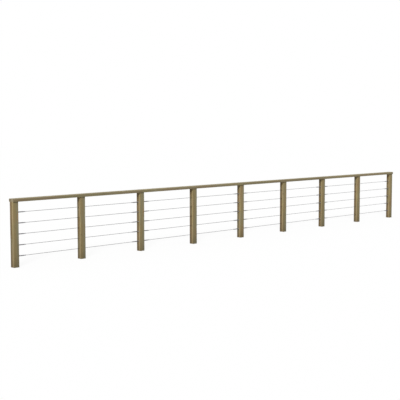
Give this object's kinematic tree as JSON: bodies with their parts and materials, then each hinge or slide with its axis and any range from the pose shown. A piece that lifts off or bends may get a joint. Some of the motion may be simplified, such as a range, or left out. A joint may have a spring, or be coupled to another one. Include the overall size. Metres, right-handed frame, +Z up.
{
  "type": "deck railing section",
  "caption": "Straight timber deck railing with square posts, a flat handrail on top and rows of taut wire rope held by metal screw fittings.",
  "frame": {"origin": "centre of the middle post's foot, which is also the middle of the whole railing at deck level", "axes": "+X along the railing, left to right in the picture; +Y across it, away from the picture's camera; +Z up"},
  "size_m": [9.69, 0.12, 1],
  "materials": {
    "post_timber": "sawn and lightly dressed treated pine",
    "rail_timber": "dressed treated pine",
    "wire_rope": "stranded stainless steel",
    "fittings": "turned stainless steel"
  },
  "bodies": {
    "root": {"post_1": "post_timber", "post_2": "post_timber", "post_3": "post_timber", "post_4": "post_timber", "post_5": "post_timber", "post_6": "post_timber", "post_7": "post_timber", "post_8": "post_timber", "post_9": "post_timber", "handrail_1": "rail_timber", "handrail_2": "rail_timber", "handrail_3": "rail_timber", "handrail_4": "rail_timber", "post_studs_1": "fittings", "turnbuckle_bodies_1": "fittings", "rope_terminals_1": "fittings", "wire_rope_1_row_1": "wire_rope", "wire_rope_1_row_2": "wire_rope", "wire_rope_1_row_3": "wire_rope", "wire_rope_1_row_4": "wire_rope", "wire_rope_1_row_5": "wire_rope", "post_studs_2": "fittings", "turnbuckle_bodies_2": "fittings", "rope_terminals_2": "fittings", "wire_rope_2_row_1": "wire_rope", "wire_rope_2_row_2": "wire_rope", "wire_rope_2_row_3": "wire_rope", "wire_rope_2_row_4": "wire_rope", "wire_rope_2_row_5": "wire_rope", "post_studs_3": "fittings", "turnbuckle_bodies_3": "fittings", "rope_terminals_3": "fittings", "wire_rope_3_row_1": "wire_rope", "wire_rope_3_row_2": "wire_rope", "wire_rope_3_row_3": "wire_rope", "wire_rope_3_row_4": "wire_rope", "wire_rope_3_row_5": "wire_rope", "post_studs_4": "fittings", "turnbuckle_bodies_4": "fittings", "rope_terminals_4": "fittings", "wire_rope_4_row_1": "wire_rope", "wire_rope_4_row_2": "wire_rope", "wire_rope_4_row_3": "wire_rope", "wire_rope_4_row_4": "wire_rope", "wire_rope_4_row_5": "wire_rope"}
  },
  "joints": []
}
